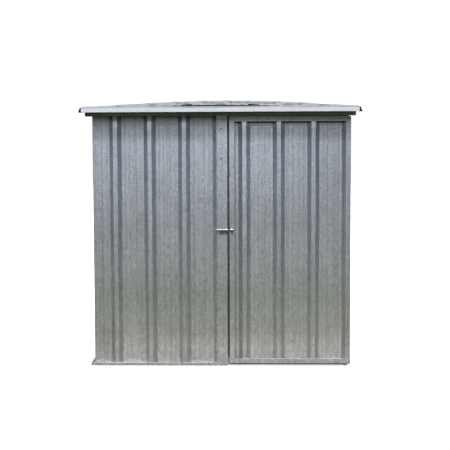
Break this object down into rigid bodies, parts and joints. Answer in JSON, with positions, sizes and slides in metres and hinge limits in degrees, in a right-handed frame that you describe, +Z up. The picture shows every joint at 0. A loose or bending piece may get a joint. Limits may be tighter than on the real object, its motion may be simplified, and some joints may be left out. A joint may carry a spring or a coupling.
{
  "type": "metal storage shed",
  "caption": "Lean-to garden shed of ribbed galvanised steel sheet on channel rails, with a crowned ribbed roof, an outward-opening framed door and a sliding pad bolt.",
  "frame": {"origin": "on the ground, at the middle of the shed's footprint and of its bounding box", "axes": "+X to the right seen from the front, the door faces -Y, +Z up"},
  "size_m": [2.0226, 1.975, 2.0564],
  "materials": {
    "wall_sheet": "weathered spangled galvanised sheet",
    "roof_sheet": "weathered spangled galvanised sheet",
    "rail_steel": "folded galvanised channel",
    "frame_steel": "dull galvanised channel",
    "flashing": "bright zinc flashing",
    "cap_plastic": "black moulded plastic",
    "hardware_steel": "bright zinc-plated hardware"
  },
  "bodies": {
    "shed": {"base_rail_front": "rail_steel", "base_rail_left": "rail_steel", "base_rail_right": "rail_steel", "base_rail_back": "rail_steel", "front_panel": "wall_sheet", "left_wall_front_sheet": "wall_sheet", "left_wall_rear_sheet": "wall_sheet", "right_wall_front_sheet": "wall_sheet", "right_wall_rear_sheet": "wall_sheet", "back_wall_left_sheet": "wall_sheet", "back_wall_right_sheet": "wall_sheet", "corner_angle_front_left": "frame_steel", "corner_angle_back_left": "frame_steel", "corner_angle_back_right": "frame_steel", "hinge_post": "rail_steel", "door_jamb": "rail_steel", "front_header": "frame_steel", "front_closure": "frame_steel", "top_rail_left": "rail_steel", "top_rail_right": "rail_steel", "top_rail_back": "rail_steel", "rear_closure": "frame_steel", "roof_purlin": "frame_steel", "roof_sheet_left": "roof_sheet", "roof_sheet_middle": "roof_sheet", "roof_sheet_right": "roof_sheet", "front_fascia": "flashing", "left_barge": "flashing", "right_barge": "flashing", "rear_capping": "roof_sheet", "corner_cap_left": "cap_plastic", "corner_cap_right": "cap_plastic", "hinge_wall_leaves": "hardware_steel", "bolt_plate": "hardware_steel"},
    "door": {"door_sheet": "wall_sheet", "door_left_stile": "rail_steel", "door_right_stile": "rail_steel", "door_top_rail": "rail_steel", "door_bottom_rail": "rail_steel", "hinge_door_leaves": "hardware_steel", "bolt_keeper": "hardware_steel"},
    "bolt": {"bolt_rod": "hardware_steel"}
  },
  "joints": [
    {"name": "door_hinge", "type": "hinge", "parent": "shed", "child": "door", "pos_m": [0.928, -0.91, 0.9], "axis": [0, 0, 1], "range_deg": [0, 110]},
    {"name": "bolt_slide", "type": "slide", "parent": "shed", "child": "bolt", "axis": [1, 0, 0], "range_m": [0, 0.028]}
  ]
}
